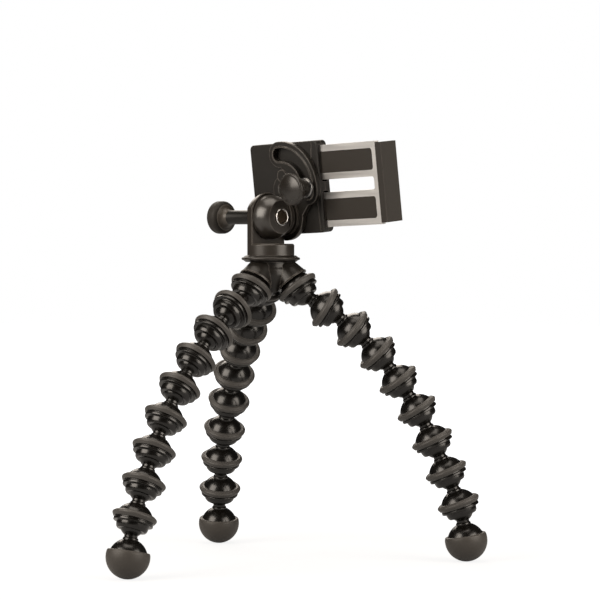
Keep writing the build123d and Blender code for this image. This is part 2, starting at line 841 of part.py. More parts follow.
def carriage():
    """Two bright rails joined by an end bar."""
    tall = RAIL_HEIGHT * 2 + RAIL_GAP
    outer = Rectangle(RAIL_END - RAIL_START, tall)
    face = Pos((RAIL_START + RAIL_END) / 2, 0) * outer
    gap_start = RAIL_START - OVERRUN * 2
    gap_end = RAIL_END - END_BAR
    face -= Pos((gap_start + gap_end) / 2, 0) * RectangleRounded(gap_end - gap_start, RAIL_GAP, GAP_CORNER)
    low = rail_low()
    solid = slab(face, low, RAIL_THICK)
    for side in rail_middles():
        solid -= slab(strip_face(side, STRIP_FIT), low - OVERRUN, OVERRUN + STRIP_DEPTH)
    for z in jaw_screw_heights():
        solid -= Pos(0, low + RAIL_THICK / 2, z) * ALONG_X * rod(
            JAW_SCREW_R + RUN_FIT, RAIL_END - JAW_SCREW_BITE, RAIL_END + OVERRUN
        )
    return solid


def rail_strip(side):
    """Dark strip in the near face of a rail."""
    return slab(strip_face(side, 0), rail_low(), STRIP_DEPTH - STRIP_FIT)


def jaw_screw_heights():
    """Heights of the screws that hold the moving jaw."""
    return [share * JAW_HEIGHT / 2 for share in JAW_SCREW_SHARES]


def moving_jaw():
    """Jaw across the ends of the rails."""
    low = rail_low()
    solid = jaw(RAIL_END, 1, low, CASE_THICK + JAW_DEPTH)
    for z in jaw_screw_heights():
        line = Pos(0, low + RAIL_THICK / 2, z) * ALONG_X
        solid -= line * rod(JAW_SCREW_R + RUN_FIT, RAIL_END - OVERRUN, RAIL_END + JAW_SCREW_REACH + RUN_FIT)
    return solid


def jaw_screws():
    """Headless screws between the end bar and the moving jaw, hidden inside both."""
    group = []
    for z in jaw_screw_heights():
        line = Pos(0, rail_low() + RAIL_THICK / 2, z) * ALONG_X
        shank = line * rod(JAW_SCREW_R, RAIL_END - JAW_SCREW_BITE + RUN_FIT, RAIL_END + JAW_SCREW_REACH)
        group.append(shank)
    return Compound(children=group)


def moving_jaw_pad():
    """Rubber pad on the moving jaw, above the rails."""
    half = JAW_HEIGHT / 2 - JAW_PAD_MARGIN
    low = rail_low() + RAIL_THICK + FACE_GAP
    return block(RAIL_END - JAW_PAD_THICK, RAIL_END, low, CASE_THICK + pad_reach(), -half, half)


# Clamp lock knob: a thumb screw that runs in the curved slot. Local +Z points to the phone side.


def lock_start():
    """Where the washer starts, in front of the slot's rim, from the near face of the housing."""
    return -FACE_GAP - BRACKET_THICK - SLOT_RIM_PROUD - FACE_GAP


def lock_screw():
    """Threaded shank, sleeve in the slot and neck of the thumb screw."""
    washer = lock_start()
    neck = washer - LOCK_WASHER_H
    solid = turned(
        [
            (0, LOCK_BITE),
            (LOCK_SHANK_R, LOCK_BITE),
            (LOCK_SHANK_R, -FACE_GAP),
            (LOCK_SLEEVE_R, -FACE_GAP),
            (LOCK_SLEEVE_R, neck),
            (LOCK_NECK_R, neck),
            (LOCK_NECK_R, neck - LOCK_NECK_LENGTH),
            (0, neck - LOCK_NECK_LENGTH),
        ]
    )
    return Pos(SLOT_R, 0, 0) * ALONG_Y * solid


def lock_washer():
    """Bright stepped washer under the neck of the thumb screw."""
    high = lock_start()
    low = high - LOCK_WASHER_H
    solid = turned(
        [
            (LOCK_SLEEVE_R, high),
            (LOCK_WASHER_R, high),
            (LOCK_WASHER_R, low + LOCK_RIM_STEP),
            (LOCK_WASHER_R - LOCK_RIM_STEP, low),
            (LOCK_SLEEVE_R, low),
        ]
    )
    return Pos(SLOT_R, 0, 0) * ALONG_Y * solid


def lock_head():
    """Domed round head of the thumb screw."""
    high = lock_start() - LOCK_WASHER_H - LOCK_NECK_LENGTH
    low = high - LOCK_HEAD_H
    dome_r = LOCK_HEAD_R - LOCK_HEAD_RIM
    ball_r = (dome_r**2 + LOCK_DOME**2) / (LOCK_DOME * 2)
    ball_middle = low - LOCK_DOME + ball_r
    shoulder = ball_middle - arc_radius_at(0, ball_r, dome_r / 2)
    solid = turned(
        [
            (0, high),
            (LOCK_HEAD_R - LOCK_RIM_STEP, high),
            (LOCK_HEAD_R, high - LOCK_RIM_STEP),
            (LOCK_HEAD_R, low + LOCK_RIM_STEP),
            (LOCK_HEAD_R - LOCK_RIM_STEP, low),
            (dome_r, low),
            Via((dome_r / 2, shoulder)),
            (0, low - LOCK_DOME),
        ]
    )
    return Pos(SLOT_R, 0, 0) * ALONG_Y * solid


# Assembly


def leg_nodes():
    """Every leg piece by name, in place."""
    segment = leg_segment()
    stud = foot_stud()
    pad = foot_pad()
    cup = hub_cup()
    nodes = {}
    for name in LEG_NAMES:
        start, way = hub_socket(name)
        nodes[f"leg_{name}_socket_1"] = along(start, way) * cup
        chain = standing_chain(name)
        for number, (centre, way) in enumerate(chain[:-1], start=2):
            nodes[f"leg_{name}_segment_{number}"] = along(centre, way) * segment
        centre, way = chain[-1]
        nodes[f"leg_{name}_foot_stud"] = along(centre, way) * stud
        nodes[f"leg_{name}_foot_pad"] = along(centre, way) * pad
    return nodes


def head_nodes():
    """Hub, fork, tilting pieces, clamp and carriage by name, in place."""
    tilt = tilt_place()
    clamp = clamp_place()
    return {
        "hub_body": hub_body(),
        "hub_flange": hub_flange(),
        "pan_stud": pan_stud(),
        "fork": fork(),
        "tilt_knob_rod": tilt_knob_rod(),
        "tilt_knob_grip": tilt_knob_grip(),
        "tilt_ball": tilt * tilt_ball(),
        "tilt_bolt": tilt * tilt_bolt(),
        "bracket": tilt * bracket(),
        "bracket_plug": tilt * bracket_plug(),
        "pivot_screw": tilt * pivot_screw(),
        "clamp_back_case": clamp * back_case(),
        "clamp_front_case": clamp * front_case(),
        "clamp_screws": clamp * case_screws(),
        "clamp_face_pad": clamp * face_pad(),
        "fixed_jaw": clamp * fixed_jaw(),
        "fixed_jaw_pad": clamp * fixed_jaw_pad(),
        "lock_screw": clamp * lock_screw(),
        "lock_washer": clamp * lock_washer(),
        "lock_head": clamp * lock_head(),
        "carriage": clamp * carriage(),
        "rail_strip_upper": clamp * rail_strip("upper"),
        "rail_strip_lower": clamp * rail_strip("lower"),
        "moving_jaw": clamp * moving_jaw(),
        "moving_jaw_pad": clamp * moving_jaw_pad(),
        "jaw_screws": clamp * jaw_screws(),
    }


def build():
    """Every piece in its final place, and the shift that put the origin under the middle of the whole."""
    nodes = {**head_nodes(), **leg_nodes()}
    boxes = [solid.bounding_box() for solid in nodes.values()]
    low_x = min(box.min.X for box in boxes)
    high_x = max(box.max.X for box in boxes)
    low_y = min(box.min.Y for box in boxes)
    high_y = max(box.max.Y for box in boxes)
    low_z = min(box.min.Z for box in boxes)
    shift = Vector(-(low_x + high_x) / 2, -(low_y + high_y) / 2, -low_z)
    placed = {name: Pos(shift.X, shift.Y, shift.Z) * solid for name, solid in nodes.items()}
    return placed, shift


placed_nodes, origin_shift = build()
os.makedirs("parts", exist_ok=True)
for node_name, node_solid in placed_nodes.items():
    export_step(node_solid, f"parts/{node_name}.step")
print("pieces", len(placed_nodes), "shift", origin_shift)
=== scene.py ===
# %% [markdown]
# # A desk tripod with three flexible legs
# The tripod is a chain of glossy black balls and sockets, with a rubber ring round each socket, and a
# tilting head that holds a phone clamp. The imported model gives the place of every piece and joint. Here
# the same pieces get their finish, and the turned ones are made again as smooth meshes.

# %% Load the frame
import json
import math
import bmesh
import bpy
from mathutils import Matrix, Vector


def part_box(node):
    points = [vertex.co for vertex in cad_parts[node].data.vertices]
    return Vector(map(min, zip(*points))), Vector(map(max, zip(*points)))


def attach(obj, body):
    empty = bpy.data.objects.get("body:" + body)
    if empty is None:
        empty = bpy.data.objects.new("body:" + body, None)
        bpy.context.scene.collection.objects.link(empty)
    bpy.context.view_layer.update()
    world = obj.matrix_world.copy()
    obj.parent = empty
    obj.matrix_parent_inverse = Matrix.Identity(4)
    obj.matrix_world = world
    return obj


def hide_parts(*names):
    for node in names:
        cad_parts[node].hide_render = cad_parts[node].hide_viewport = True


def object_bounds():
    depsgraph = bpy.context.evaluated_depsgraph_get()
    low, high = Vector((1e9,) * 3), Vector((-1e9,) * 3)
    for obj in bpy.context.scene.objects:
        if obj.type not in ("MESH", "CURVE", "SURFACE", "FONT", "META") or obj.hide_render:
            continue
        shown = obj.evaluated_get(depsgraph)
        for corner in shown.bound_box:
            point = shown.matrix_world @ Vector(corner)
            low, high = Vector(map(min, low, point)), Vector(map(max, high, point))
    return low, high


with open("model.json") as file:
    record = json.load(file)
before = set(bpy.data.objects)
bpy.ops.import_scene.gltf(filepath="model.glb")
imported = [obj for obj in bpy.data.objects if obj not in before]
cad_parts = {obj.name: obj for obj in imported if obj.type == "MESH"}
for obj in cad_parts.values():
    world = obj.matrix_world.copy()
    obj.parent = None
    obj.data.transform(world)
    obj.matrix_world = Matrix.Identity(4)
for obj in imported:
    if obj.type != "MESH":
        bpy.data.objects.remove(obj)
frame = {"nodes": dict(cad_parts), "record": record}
cad_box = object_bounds()
MM = 0.001
joints = {joint["name"]: joint for joint in frame["record"]["behaviour"]["joints"]}

# %% [markdown]
# ## The camera
# The photograph was taken from far away with a long lens, at about the height of the clamp's arms. The
# camera stands at that distance from the pan axis and aims at the point behind the picture's middle.

# %% Camera
CAMERA_AZIMUTH = math.radians(45)
CAMERA_DISTANCE = 1780 * MM
CAMERA_HEIGHT = 196 * MM
FOCAL_PIXELS = 2925
PICTURE_PIXELS = 600
PICTURE_MIDDLE = PICTURE_PIXELS / 2
AXIS_PIXEL_X = 270.8
HORIZON_PIXEL_Y = 240.6
SENSOR_WIDTH = 36
CLIP_NEAR = 0.05
CLIP_FAR = 50
UP = Vector((0, 0, 1))

pan_point = Vector(joints["pan_turn"]["pos_m"])
towards_camera = Vector((math.sin(CAMERA_AZIMUTH), -math.cos(CAMERA_AZIMUTH), 0))
to_right = Vector((math.cos(CAMERA_AZIMUTH), math.sin(CAMERA_AZIMUTH), 0))
camera_data = bpy.data.cameras.new("photo_camera")
camera_data.sensor_width = SENSOR_WIDTH
camera_data.lens = SENSOR_WIDTH * FOCAL_PIXELS / PICTURE_PIXELS
camera_data.clip_start = CLIP_NEAR
camera_data.clip_end = CLIP_FAR
camera = bpy.data.objects.new("photo_camera", camera_data)
bpy.context.scene.collection.objects.link(camera)
camera.location = Vector((pan_point.x, pan_point.y, CAMERA_HEIGHT)) + towards_camera * CAMERA_DISTANCE
aim = -towards_camera
aim += to_right * (PICTURE_MIDDLE - AXIS_PIXEL_X) / FOCAL_PIXELS
aim -= UP * (PICTURE_MIDDLE - HORIZON_PIXEL_Y) / FOCAL_PIXELS
camera.rotation_mode = "QUATERNION"
camera.rotation_quaternion = aim.to_track_quat("-Z", "Y")
bpy.context.scene.camera = camera
bpy.context.scene.view_settings.view_transform = "Standard"
print("lens", round(camera_data.lens, 1))

# %% [markdown]
# ## Helpers for node trees
# The studio, the shared effects and the finishes are all node trees, so they share these two functions.

# %% Node helpers


def new_material(name):
    """A new node material: the material, its nodes, its links and its Principled shader."""
    material = bpy.data.materials.new(name)
    material.use_nodes = True
    nodes = material.node_tree.nodes
    return material, nodes, material.node_tree.links, nodes["Principled BSDF"]


def math_node(tree, operation, first, second):
    """A math node of two values, each a socket or a number; its output socket."""
    node = tree.nodes.new("ShaderNodeMath")
    node.operation = operation
    for place, value in enumerate((first, second)):
        if isinstance(value, (int, float)):
            node.inputs[place].default_value = value
        else:
            tree.links.new(value, node.inputs[place])
    return node.outputs[0]


# %% [markdown]
# ## Floor, background and lamps
# The backdrop is white paper, so camera rays see white, while the light that falls on the object comes
# from four soft lamps of a warm white. Part of the floor's own shading is kept near the legs, so that the
# feet have a shadow. The glossy legs mirror only a small share of the floor's and the background's white.

# %% Studio
PAPER_WHITE = (1, 1, 1, 1)
FLOOR_SHADOW_SHARE = 0.35
FLOOR_GLOW = 1.3
FLOOR_IN_GLOSS = 0.1
SKY_ON_OBJECT = 0.06
SKY_IN_GLOSS = 0.03
FLOOR_FADE_START = 0.16
FLOOR_FADE_END = 0.5
FLOOR_HALF = 4.0
FLOOR_GREY = 0.42
FLOOR_ROUGHNESS = 0.9
WARM_LIGHT = (1.0, 0.91, 0.81)
# Azimuth in degrees from -Y, as the camera's, then height, distance and size in metres, and power in watts
LAMPS = {
    "key_lamp": (-12, 0.55, 0.85, 0.7, 10.5),
    "side_lamp": (102, 0.4, 0.85, 0.65, 7.5),
    "back_lamp": (-125, 0.8, 1.0, 0.7, 6),
    "top_lamp": (45, 1.2, 0.05, 0.8, 6),
}


def build_world():
    """White for the camera, dimmer for the light on the object and for its reflections."""
    world = bpy.data.worlds.new("studio")
    world.use_nodes = True
    bpy.context.scene.world = world
    nodes = world.node_tree.nodes
    links = world.node_tree.links
    background = nodes["Background"]
    background.inputs["Color"].default_value = PAPER_WHITE
    path = nodes.new("ShaderNodeLightPath")
    gloss = nodes.new("ShaderNodeMapRange")
    gloss.inputs["To Min"].default_value = SKY_ON_OBJECT
    gloss.inputs["To Max"].default_value = SKY_IN_GLOSS
    links.new(path.outputs["Is Glossy Ray"], gloss.inputs["Value"])
    seen = math_node(world.node_tree, "MAXIMUM", path.outputs["Is Camera Ray"], gloss.outputs["Result"])
    links.new(seen, background.inputs["Strength"])


def build_floor():
    """A wide pale floor that is nearly white to the camera and keeps a soft shadow."""
    mesh = bpy.data.meshes.new("floor")
    corners = [(x * FLOOR_HALF, y * FLOOR_HALF, 0) for x, y in ((-1, -1), (1, -1), (1, 1), (-1, 1))]
    mesh.from_pydata(corners, [], [(0, 1, 2, 3)])
    floor = bpy.data.objects.new("floor", mesh)
    bpy.context.scene.collection.objects.link(floor)
    material, nodes, links, shader = new_material("floor_paper")
    shader.inputs["Base Color"].default_value = (FLOOR_GREY, FLOOR_GREY, FLOOR_GREY, 1)
    shader.inputs["Roughness"].default_value = FLOOR_ROUGHNESS
    shader.inputs["Specular IOR Level"].default_value = 0.0
    glow = nodes.new("ShaderNodeEmission")
    glow.inputs["Color"].default_value = PAPER_WHITE
    glow.inputs["Strength"].default_value = FLOOR_GLOW
    path = nodes.new("ShaderNodeLightPath")
    place = nodes.new("ShaderNodeTexCoord")
    distance = nodes.new("ShaderNodeVectorMath")
    distance.operation = "LENGTH"
    fade = nodes.new("ShaderNodeMapRange")
    fade.interpolation_type = "SMOOTHSTEP"
    fade.inputs["From Min"].default_value = FLOOR_FADE_START
    fade.inputs["From Max"].default_value = FLOOR_FADE_END
    fade.inputs["To Min"].default_value = 1 - FLOOR_SHADOW_SHARE
    mix = nodes.new("ShaderNodeMixShader")
    links.new(place.outputs["Object"], distance.inputs[0])
    links.new(distance.outputs["Value"], fade.inputs["Value"])
    tree = material.node_tree
    share = math_node(tree, "MULTIPLY", path.outputs["Is Camera Ray"], fade.outputs["Result"])
    mirrored = math_node(tree, "MULTIPLY", path.outputs["Is Glossy Ray"], FLOOR_IN_GLOSS)
    links.new(math_node(tree, "MAXIMUM", share, mirrored), mix.inputs["Fac"])
    links.new(shader.outputs[0], mix.inputs[1])
    links.new(glow.outputs[0], mix.inputs[2])
    links.new(mix.outputs[0], nodes["Material Output"].inputs["Surface"])
    mesh.materials.append(material)


def soft_lamp(name, azimuth, height, distance, size, power):
    """A square lamp aimed at the middle of the tripod; the azimuth turns as the camera's does."""
    turn = math.radians(azimuth)
    data = bpy.data.lights.new(name, "AREA")
    data.shape = "SQUARE"
    data.size = size
    data.energy = power
    data.color = WARM_LIGHT
    lamp = bpy.data.objects.new(name, data)
    bpy.context.scene.collection.objects.link(lamp)
    lamp.location = (distance * math.sin(turn), -distance * math.cos(turn), height)
    target = Vector((0, 0, (cad_box[0].z + cad_box[1].z) / 2))
    lamp.rotation_mode = "QUATERNION"
    lamp.rotation_quaternion = (target - lamp.location).to_track_quat("-Z", "Y")


build_world()
build_floor()
for lamp_name, lamp_numbers in LAMPS.items():
    soft_lamp(lamp_name, *lamp_numbers)
print("lamps", len(LAMPS))

# %% [markdown]
# ## Shared surface effects
# Several finishes share three effects, each a node group that is built once. *moulded_skin* gives the fine
# orange-peel of moulded plastic and rubber. The edge group lightens the corners, partly as the wear that hands
# and bags rub and partly as a painted highlight on edges that catch the light, and lets a little dust lie on
# what faces up. *drawn_metal* gives the long fine lines of extruded rails.

# %% Node groups
FLOAT = "NodeSocketFloat"
COLOUR = "NodeSocketColor"
NOISE_MIDDLE = 0.5
GRAIN_DETAIL = 3.0
DRIFT_SCALE = 55.0
DRIFT_DETAIL = 2.0
CORNER_RADIUS = 0.7 * MM
CORNER_START = 0.99
CORNER_FULL = 0.9
EDGE_BREAK_SCALE = 260.0
EDGE_BREAK_DETAIL = 4.0
SPECK_SCALE = 1500.0
SPECK_DETAIL = 1.0
SPECK_LEVEL = 0.68
SPECK_SHARE = 0.6
LINE_STRETCH = (0.02, 1.0, 1.0)
LINE_DETAIL = 2.0
LINE_DRIFT = 0.25


def new_group(name, inputs, outputs):
    """A shader node group with named sockets; inputs are (name, kind, value)."""
    tree = bpy.data.node_groups.new(name, "ShaderNodeTree")
    for label, kind, value in inputs:
        socket = tree.interface.new_socket(name=label, in_out="INPUT", socket_type=kind)
        socket.default_value = value
    for label, kind in outputs:
        tree.interface.new_socket(name=label, in_out="OUTPUT", socket_type=kind)
    return tree, tree.nodes.new("NodeGroupInput"), tree.nodes.new("NodeGroupOutput")


def noise(tree, position, scale, detail):
    """Noise of a scale given as a number or a socket; its value socket."""
    node = tree.nodes.new("ShaderNodeTexNoise")
    node.inputs["Detail"].default_value = detail
    tree.links.new(position, node.inputs["Vector"])
    if isinstance(scale, (int, float)):
        node.inputs["Scale"].default_value = scale
    else:
        tree.links.new(scale, node.inputs["Scale"])
    return node.outputs["Fac"]


def build_moulded_skin():
    """Fine grain height, and a roughness that drifts a little over the surface."""
    tree, given, result = new_group(
        "moulded_skin",
        [("Grain Scale", FLOAT, 900.0), ("Roughness", FLOAT, 0.4), ("Drift", FLOAT, 0.1)],
        [("Height", FLOAT), ("Roughness", FLOAT)],
    )
    place = tree.nodes.new("ShaderNodeTexCoord").outputs["Object"]
    fine = noise(tree, place, given.outputs["Grain Scale"], GRAIN_DETAIL)
    broad = math_node(tree, "SUBTRACT", noise(tree, place, DRIFT_SCALE, DRIFT_DETAIL), NOISE_MIDDLE)
    swing = math_node(tree, "MULTIPLY", broad, given.outputs["Drift"])
    tree.links.new(fine, result.inputs["Height"])
    tree.links.new(math_node(tree, "ADD", given.outputs["Roughness"], swing), result.inputs["Roughness"])
    return tree


def build_worn_and_lit_edges():
    """Colour with paler corners, partly rubbed wear and partly painted highlight, and thin dust on upward
    faces.
    """
    tree, given, result = new_group(
        "worn_and_lit_edges",
        [("Colour", COLOUR, (0.02, 0.02, 0.02, 1)), ("Rubbed", COLOUR, (0.1, 0.1, 0.1, 1)),
         ("Rub", FLOAT, 0.5), ("Dust", FLOAT, 0.1)],
        [("Colour", COLOUR)],
    )
    place = tree.nodes.new("ShaderNodeTexCoord").outputs["Object"]
    bevel = tree.nodes.new("ShaderNodeBevel")
    bevel.inputs["Radius"].default_value = CORNER_RADIUS
    geometry = tree.nodes.new("ShaderNodeNewGeometry")
    likeness = tree.nodes.new("ShaderNodeVectorMath")
    likeness.operation = "DOT_PRODUCT"
    tree.links.new(bevel.outputs["Normal"], likeness.inputs[0])
    tree.links.new(geometry.outputs["Normal"], likeness.inputs[1])
    corner = tree.nodes.new("ShaderNodeMapRange")
    corner.inputs["From Min"].default_value = CORNER_START
    corner.inputs["From Max"].default_value = CORNER_FULL
    tree.links.new(likeness.outputs["Value"], corner.inputs["Value"])
    # The corner mask lightens edges: partly wear, partly a painted highlight where edges catch the light.
    broken = noise(tree, place, EDGE_BREAK_SCALE, EDGE_BREAK_DETAIL)
    worn_and_lit = math_node(tree, "MULTIPLY", corner.outputs["Result"], broken)
    worn_and_lit = math_node(tree, "MULTIPLY", worn_and_lit, given.outputs["Rub"])
    apart = tree.nodes.new("ShaderNodeSeparateXYZ")
    tree.links.new(geometry.outputs["Normal"], apart.inputs[0])
    up = math_node(tree, "MAXIMUM", apart.outputs["Z"], 0.0)
    speck = math_node(tree, "GREATER_THAN", noise(tree, place, SPECK_SCALE, SPECK_DETAIL), SPECK_LEVEL)
    speck = math_node(tree, "MULTIPLY", speck, SPECK_SHARE)
    dust = math_node(tree, "MULTIPLY", math_node(tree, "ADD", speck, 1 - SPECK_SHARE), up)
    dust = math_node(tree, "MULTIPLY", dust, given.outputs["Dust"])
    mask = math_node(tree, "ADD", worn_and_lit, dust)
    mix = tree.nodes.new("ShaderNodeMix")
    mix.data_type = "RGBA"
    tree.links.new(mask, mix.inputs["Factor"])
    tree.links.new(given.outputs["Colour"], mix.inputs["A"])
    tree.links.new(given.outputs["Rubbed"], mix.inputs["B"])
    tree.links.new(mix.outputs["Result"], result.inputs["Colour"])
    return tree


def build_drawn_metal():
    """Fine lines along X, as height and as roughness."""
    tree, given, result = new_group(
        "drawn_metal",
        [("Roughness", FLOAT, 0.3), ("Line Scale", FLOAT, 1400.0)],
        [("Height", FLOAT), ("Roughness", FLOAT)],
    )
    place = tree.nodes.new("ShaderNodeTexCoord").outputs["Object"]
    stretch = tree.nodes.new("ShaderNodeVectorMath")
    stretch.operation = "MULTIPLY"
    stretch.inputs[1].default_value = LINE_STRETCH
    tree.links.new(place, stretch.inputs[0])
    lines = noise(tree, stretch.outputs["Vector"], given.outputs["Line Scale"], LINE_DETAIL)
    swing = math_node(tree, "MULTIPLY", math_node(tree, "SUBTRACT", lines, NOISE_MIDDLE), LINE_DRIFT)
    tree.links.new(lines, result.inputs["Height"])
    tree.links.new(math_node(tree, "ADD", given.outputs["Roughness"], swing), result.inputs["Roughness"])
    return tree


moulded_skin = build_moulded_skin()
worn_and_lit_edges = build_worn_and_lit_edges()
drawn_metal = build_drawn_metal()

# %% [markdown]
# ## Finishes
# The balls and sockets are polished black plastic, the rings and feet matt rubber a shade paler, and the
# head satin moulded plastic. The same maker's function mixes them from the shared effects, so each finish
# is only a few numbers. The metals are made apart, because their colour comes from reflection.

# %% Black plastics and rubbers
MOULDED_BUMP = 0.5
SHEEN_ROUGHNESS = 0.5


def place_group(nodes, tree, **values):
    """A group node in a material, with its inputs set by name."""
    node = nodes.new("ShaderNodeGroup")
    node.node_tree = tree
    for label, value in values.items():
        node.inputs[label.replace("_", " ")].default_value = value
    return node


def grey(level, warmth=0.0):
    """A grey, a little warmer when warmth is above zero."""
    return (level * (1 + warmth), level, level * (1 - warmth), 1)


def moulded(name, level, worn_and_lit, roughness, grain_scale, grain_depth, worn_and_lit_share, dust, warmth=0.2,
            drift=0.12, specular=0.5, sheen=0.0):
    """A moulded plastic or rubber finish; the grain's depth is in millimetres."""
    material, nodes, links, shader = new_material(name)
    skin = place_group(nodes, moulded_skin, Grain_Scale=grain_scale, Roughness=roughness, Drift=drift)
    # The paler edge colour is partly rubbed wear and partly a painted highlight on thin edges that catch the
    # light.
    edges = place_group(nodes, worn_and_lit_edges, Colour=grey(level, warmth), Rubbed=grey(worn_and_lit, warmth / 2),
                        Rub=worn_and_lit_share, Dust=dust)
    bump = nodes.new("ShaderNodeBump")
    bump.inputs["Distance"].default_value = grain_depth * MM
    bump.inputs["Strength"].default_value = MOULDED_BUMP
    links.new(skin.outputs["Height"], bump.inputs["Height"])
    links.new(skin.outputs["Roughness"], shader.inputs["Roughness"])
    links.new(edges.outputs["Colour"], shader.inputs["Base Color"])
    links.new(bump.outputs["Normal"], shader.inputs["Normal"])
    shader.inputs["Specular IOR Level"].default_value = specular
    shader.inputs["Sheen Weight"].default_value = sheen
    shader.inputs["Sheen Roughness"].default_value = SHEEN_ROUGHNESS
    return material


ball_plastic = moulded("ball_plastic", 0.003, 0.06, 0.25, 700, 0.008, worn_and_lit_share=0.3, dust=0.015, drift=0.08,
                       specular=0.48)
ring_rubber = moulded("ring_rubber", 0.037, 0.11, 0.5, 1500, 0.05, worn_and_lit_share=0.5, dust=0.06, warmth=0.08, sheen=0.06)
foot_rubber = moulded("foot_rubber", 0.036, 0.10, 0.5, 1200, 0.06, worn_and_lit_share=0.35, dust=0.1, warmth=0.13,
                      specular=0.42, sheen=0.06)
# The next five finishes get a pale edge grey at a strong share, which paints highlights along the head's thin
# edges as well as some wear.
tilt_plastic = moulded("tilt_plastic", 0.014, 0.2, 0.3, 1600, 0.03, worn_and_lit_share=1.0, dust=0.03, specular=0.75)
head_plastic = moulded("head_plastic", 0.018, 0.2, 0.33, 1600, 0.04, worn_and_lit_share=1.0, dust=0.04)
hub_plastic = moulded("hub_plastic", 0.008, 0.2, 0.36, 1400, 0.03, worn_and_lit_share=1.2, dust=0.03, specular=0.35)
case_plastic = moulded("case_plastic", 0.006, 0.14, 0.46, 1800, 0.06, worn_and_lit_share=1.1, dust=0.04, specular=0.35)
bracket_plastic = moulded("bracket_plastic", 0.008, 0.26, 0.36, 1700, 0.04, worn_and_lit_share=1.4, dust=0.04,
                          specular=0.4)
jaw_plastic = moulded("jaw_plastic", 0.016, 0.1, 0.6, 1300, 0.06, worn_and_lit_share=0.6, dust=0.06, specular=0.35)
strip_plastic = moulded("strip_plastic", 0.017, 0.07, 0.52, 2200, 0.07, worn_and_lit_share=0.3, dust=0.03, specular=0.3)
grip_rubber = moulded("grip_rubber", 0.012, 0.1, 0.6, 1500, 0.06, worn_and_lit_share=0.6, dust=0.06, specular=0.3,
                      sheen=0.04)
knob_plastic = moulded("knob_plastic", 0.012, 0.18, 0.28, 1500, 0.03, worn_and_lit_share=0.9, dust=0.03, specular=0.55)
# The flare's grey is paler than the rod's as painted light, for the slope that faces the lamps.
flare_painted_lit = moulded("flare_painted_lit", 0.04, 0.16, 0.42, 1500, 0.03, worn_and_lit_share=0.8, dust=0.04)
rod_plastic = moulded("rod_plastic", 0.004, 0.12, 0.36, 900, 0.01, worn_and_lit_share=0.4, dust=0.01, drift=0.06,
                      specular=0.3)

# %% Metals
METAL_BUMP = 0.4
METAL_RUB = 0.6
METAL_DUST = 0.03
METAL_RUBBED = 1.2


def metal(name, level, roughness, line_scale, line_depth, warmth=0.01):
    """A metal with fine drawn lines, whose depth is in millimetres."""
    material, nodes, links, shader = new_material(name)
    lines = place_group(nodes, drawn_metal, Roughness=roughness, Line_Scale=line_scale)
    edges = place_group(nodes, worn_and_lit_edges, Colour=grey(level, warmth),
                        Rubbed=grey(min(1, level * METAL_RUBBED)), Rub=METAL_RUB, Dust=METAL_DUST)
    bump = nodes.new("ShaderNodeBump")
    bump.inputs["Distance"].default_value = line_depth * MM
    bump.inputs["Strength"].default_value = METAL_BUMP
    links.new(lines.outputs["Height"], bump.inputs["Height"])
    links.new(lines.outputs["Roughness"], shader.inputs["Roughness"])
    links.new(edges.outputs["Colour"], shader.inputs["Base Color"])
    links.new(bump.outputs["Normal"], shader.inputs["Normal"])
    shader.inputs["Metallic"].default_value = 1.0
    return material


rail_metal = metal("rail_metal", 0.68, 0.36, 1400, 0.02)
chrome_plate = metal("chrome_plate", 0.7, 0.16, 900, 0.004)
washer_steel = metal("washer_steel", 0.26, 0.3, 900, 0.02)
dark_steel = metal("dark_steel", 0.2, 0.35, 1100, 0.01)
bolt_bronze = metal("bolt_bronze", 0.055, 0.4, 1100, 0.02, warmth=0.3)

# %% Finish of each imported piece
finish_of_node = {
    "fork": head_plastic, "tilt_ball": tilt_plastic, "hub_body": hub_plastic, "hub_flange": hub_plastic,
    "pan_stud": dark_steel, "tilt_knob_grip": grip_rubber, "tilt_bolt": bolt_bronze,
    "bracket": bracket_plastic, "bracket_plug": bracket_plastic, "pivot_screw": dark_steel,
    "clamp_back_case": case_plastic, "clamp_front_case": case_plastic, "clamp_face_pad": ring_rubber,
    "clamp_screws": dark_steel, "fixed_jaw": jaw_plastic, "fixed_jaw_pad": ring_rubber,
    "lock_screw": knob_plastic, "lock_washer": washer_steel, "lock_head": knob_plastic,
    "carriage": rail_metal, "rail_strip_upper": strip_plastic, "rail_strip_lower": strip_plastic,
    "moving_jaw": jaw_plastic, "moving_jaw_pad": ring_rubber, "jaw_screws": dark_steel,
}
for node_name, finish in finish_of_node.items():
    for slot in frame["nodes"][node_name].material_slots:
        slot.material = finish
print("finished nodes", len(finish_of_node))

# %% [markdown]
# ## Rounded edges on the head
# A moulded edge is never sharp: it has a small radius that catches the light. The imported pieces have
# sharp edges, so their triangles are joined, flat ones merged, and every sharp edge gets a small bevel.
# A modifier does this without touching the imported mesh.

# %% Soft edges
SHARP_EDGE = math.radians(36)
FLAT_ANGLE = math.radians(0.4)
WELD_GAP = 0.002 * MM
ROUND_SEGMENTS = 2
edge_of_node = {
    "fork": 0.35, "tilt_ball": 0.3, "hub_body": 0.3, "hub_flange": 0.6,
    "tilt_knob_grip": 0.3, "tilt_bolt": 0.2, "bracket": 0.35, "clamp_back_case": 0.4,
    "clamp_front_case": 0.4, "fixed_jaw": 0.4, "lock_screw": 0.2, "lock_washer": 0.2, "lock_head": 0.25,
    "carriage": 0.25, "rail_strip_upper": 0.12, "rail_strip_lower": 0.12, "moving_jaw": 0.4,
}


